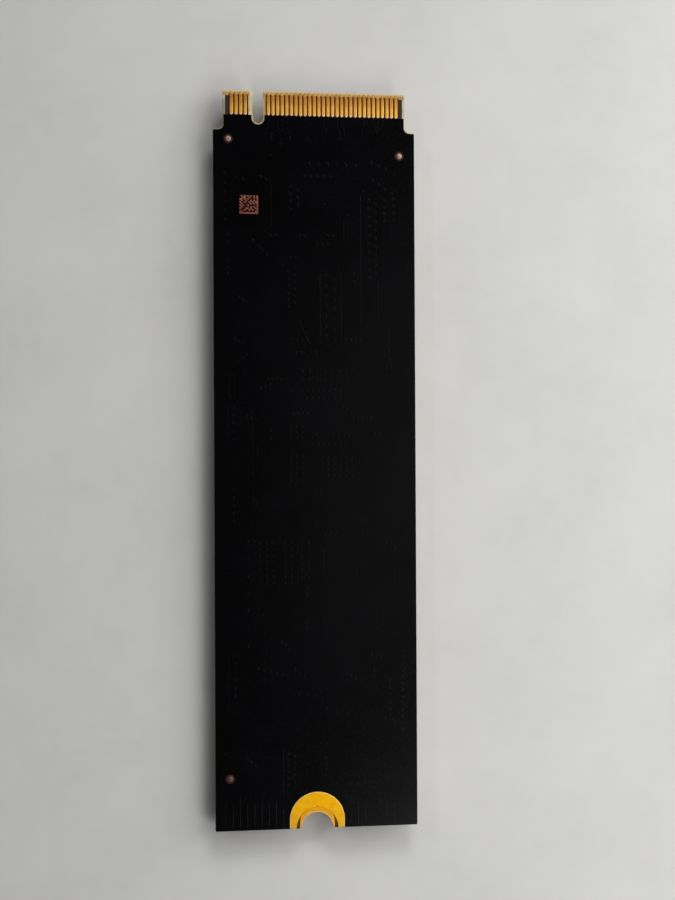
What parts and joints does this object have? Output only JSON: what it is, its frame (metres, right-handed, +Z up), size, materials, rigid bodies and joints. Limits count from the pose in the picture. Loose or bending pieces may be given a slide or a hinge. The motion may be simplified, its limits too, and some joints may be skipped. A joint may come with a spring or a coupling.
{
  "type": "solid state drive",
  "caption": "Bare M.2 solid state drive: black board with gold edge contacts, a key notch and a half-round screw notch, with its chips on the hidden face.",
  "frame": {"origin": "centre of the footprint of the whole drive, at the height of the surface that it lies on", "axes": "+X across the board, +Y along it towards the edge contacts, +Z up out of the bare face"},
  "size_m": [0.022, 0.08, 0.0022],
  "materials": {
    "board_laminate": "glass-epoxy laminate, cut edges raw",
    "solder_mask": "semi-gloss black solder mask",
    "contact_gold": "gold plating on copper, satin",
    "bare_copper": "bare copper, dull",
    "package_mold": "fine grained black moulding compound",
    "package_substrate": "green laminate, sawn edges",
    "nickel_lid": "nickel plating, satin",
    "inductor_core": "pressed metal powder, matt grey",
    "crystal_ceramic": "fired ceramic, matt",
    "capacitor_ceramic": "fired ceramic between tinned ends",
    "resistor_body": "black glaze on white ceramic, tinned ends",
    "label_paper": "white paper label, satin, blank apart from a plain ruled pattern"
  },
  "bodies": {
    "root": {"buffer_memory_mold": "package_mold", "buffer_memory_substrate": "package_substrate", "bulk_capacitor_end": "package_mold", "bulk_capacitor_host": "package_mold", "capacitor_core": "capacitor_ceramic", "capacitor_end_1": "capacitor_ceramic", "capacitor_end_2": "capacitor_ceramic", "capacitor_input_1": "capacitor_ceramic", "capacitor_input_2": "capacitor_ceramic", "capacitor_memory": "capacitor_ceramic", "capacitor_output_1": "capacitor_ceramic", "capacitor_output_2": "capacitor_ceramic", "capacitor_side_1": "capacitor_ceramic", "capacitor_side_2": "capacitor_ceramic", "capacitor_tab_1": "capacitor_ceramic", "capacitor_tab_2": "capacitor_ceramic", "capacitor_tab_3": "capacitor_ceramic", "capacitor_tab_4": "capacitor_ceramic", "capacitor_tab_5": "capacitor_ceramic", "circuit_board": "board_laminate", "clock_crystal_base": "crystal_ceramic", "clock_crystal_lid": "nickel_lid", "contacts_even_key": "contact_gold", "contacts_even_main": "contact_gold", "contacts_odd_key": "contact_gold", "contacts_odd_main": "contact_gold", "controller_lid": "nickel_lid", "controller_mold": "package_mold", "controller_substrate": "package_substrate", "core_regulator": "package_mold", "fiducial_chip_side_screw": "bare_copper", "fiducial_chip_side_tab": "bare_copper", "fiducial_screw_end": "bare_copper", "fiducial_tab_left": "bare_copper", "fiducial_tab_right": "bare_copper", "firmware_chip": "package_mold", "flash_memory_far_mold": "package_mold", "flash_memory_far_substrate": "package_substrate", "flash_memory_near_mold": "package_mold", "flash_memory_near_substrate": "package_substrate", "label": "label_paper", "load_switch": "package_mold", "matrix_code_pad": "bare_copper", "power_inductor_1": "inductor_core", "power_inductor_2": "inductor_core", "power_inductor_3": "inductor_core", "power_inductor_4": "inductor_core", "power_management_chip": "package_mold", "resistor_array_1": "resistor_body", "resistor_array_2": "resistor_body", "resistor_sense": "resistor_body", "resistor_strap_1": "resistor_body", "resistor_strap_2": "resistor_body", "screw_notch_plating": "contact_gold", "solder_mask_bare_side": "solder_mask", "solder_mask_chip_side": "solder_mask", "temperature_sensor": "package_mold"}
  },
  "joints": []
}
